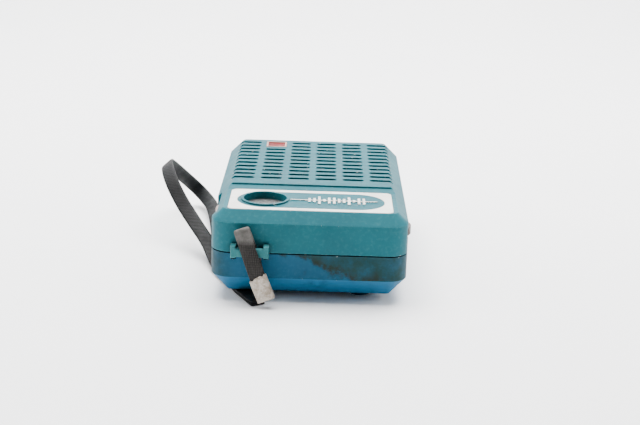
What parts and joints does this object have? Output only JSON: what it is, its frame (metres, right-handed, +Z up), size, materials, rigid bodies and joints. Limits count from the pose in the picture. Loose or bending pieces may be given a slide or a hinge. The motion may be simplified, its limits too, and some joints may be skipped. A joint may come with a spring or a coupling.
{
  "type": "transistor pocket radio",
  "caption": "Pocket radio case in two bevelled halves with a slotted grille, a dial window, two edge thumbwheels and a wrist strap on a lug.",
  "frame": {"origin": "on the table, under the middle of the case", "axes": "+Z up out of the grille, +Y from the strap end to the speaker end, +X towards the volume wheel"},
  "size_m": [0.1064, 0.1402, 0.037],
  "materials": {
    "badge_pale": "pale painted frame",
    "badge_red": "red enamel, glossy",
    "battery_case": "painted sleeve, no label",
    "board_phenolic": "brown phenolic board",
    "bright_trim": "bright foil",
    "can_metal": "drawn metal cans",
    "capacitor_grey": "grey clear plastic",
    "ceramic_tan": "tan ceramic",
    "clamp_metal": "scratched tarnished metal",
    "coil_wire": "silk-covered copper wire",
    "cone_paper": "black paper cone",
    "core_iron": "laminated core",
    "cradle_plastic": "black plastic",
    "dial": "greyish pink-brown plastic",
    "electrolytic_blue": "blue sleeve",
    "felt": "felt and foam",
    "ferrite": "dark grey ferrite",
    "front_case": "moulded teal plastic, satin, scuffed",
    "lead_black": "black insulated wire",
    "lead_red": "red insulated wire",
    "lens": "clear acrylic",
    "lug": "pale teal plastic, satin",
    "magnet_iron": "magnet and yoke",
    "rear_case": "darker teal plastic, satin, grimy",
    "resistor_brown": "brown lacquer",
    "screw_steel": "plated steel",
    "shaft_brass": "turned brass",
    "speaker_steel": "zinc-plated steel",
    "strap_leather": "black grained leatherette, worn",
    "tag_board": "brown tag board",
    "trim_white": "off-white plastic, satin",
    "volume_brown": "dark brown plastic"
  },
  "bodies": {
    "rear_half": {"rear_shell": "rear_case", "strap_lug": "lug", "case_screws": "screw_steel", "battery_pad": "felt", "strap_clamp": "clamp_metal", "strap_hanger": "strap_leather", "wrist_strap": "strap_leather"},
    "front_half": {"aerial_coil_1": "coil_wire", "aerial_coil_2": "coil_wire", "badge_frame": "badge_pale", "badge_plate": "badge_red", "battery": "battery_case", "battery_lead_black": "lead_black", "battery_lead_red": "lead_red", "board_screws": "screw_steel", "ceramic_capacitor": "ceramic_tan", "circuit_board": "board_phenolic", "clip_screws": "screw_steel", "dial_lens": "lens", "driver_transformer": "core_iron", "electrolytic_1": "electrolytic_blue", "electrolytic_2": "electrolytic_blue", "emblem": "bright_trim", "ferrite_rod": "ferrite", "front_shell": "front_case", "if_coil_1": "can_metal", "if_coil_2": "can_metal", "if_coil_3": "can_metal", "output_transformer": "core_iron", "resistor_1": "resistor_brown", "resistor_2": "resistor_brown", "resistor_3": "resistor_brown", "resistor_4": "resistor_brown", "rod_cradles": "cradle_plastic", "snap_connector": "cradle_plastic", "speaker_basket": "speaker_steel", "speaker_clip_1": "speaker_steel", "speaker_clip_2": "speaker_steel", "speaker_clip_3": "speaker_steel", "speaker_clip_4": "speaker_steel", "speaker_cone": "cone_paper", "speaker_gasket": "felt", "speaker_lead_1": "lead_red", "speaker_lead_2": "lead_black", "speaker_magnet": "magnet_iron", "speaker_tags": "tag_board", "transistor_1": "can_metal", "transistor_2": "can_metal", "transistor_3": "can_metal", "transistor_4": "can_metal", "transistor_5": "can_metal", "trim_panel": "trim_white", "tuning_capacitor": "capacitor_grey", "volume_pot": "can_metal"},
    "tuning": {"tuning_wheel": "dial", "tuning_shaft": "shaft_brass", "tuning_screw": "screw_steel"},
    "volume": {"volume_wheel": "volume_brown", "volume_shaft": "shaft_brass", "volume_screw": "screw_steel"}
  },
  "joints": [
    {"name": "case_open", "type": "slide", "parent": "rear_half", "child": "front_half", "axis": [0, 0, 1], "range_m": [0, 0.03]},
    {"name": "tuning_turn", "type": "hinge", "parent": "front_half", "child": "tuning", "pos_m": [-0.0202, -0.037, 0.029], "axis": [0, 0, 1], "range_deg": [-90, 90]},
    {"name": "volume_turn", "type": "hinge", "parent": "front_half", "child": "volume", "pos_m": [0.0293, -0.0454, 0.0271], "axis": [0, 0, 1], "range_deg": [0, 290]}
  ]
}
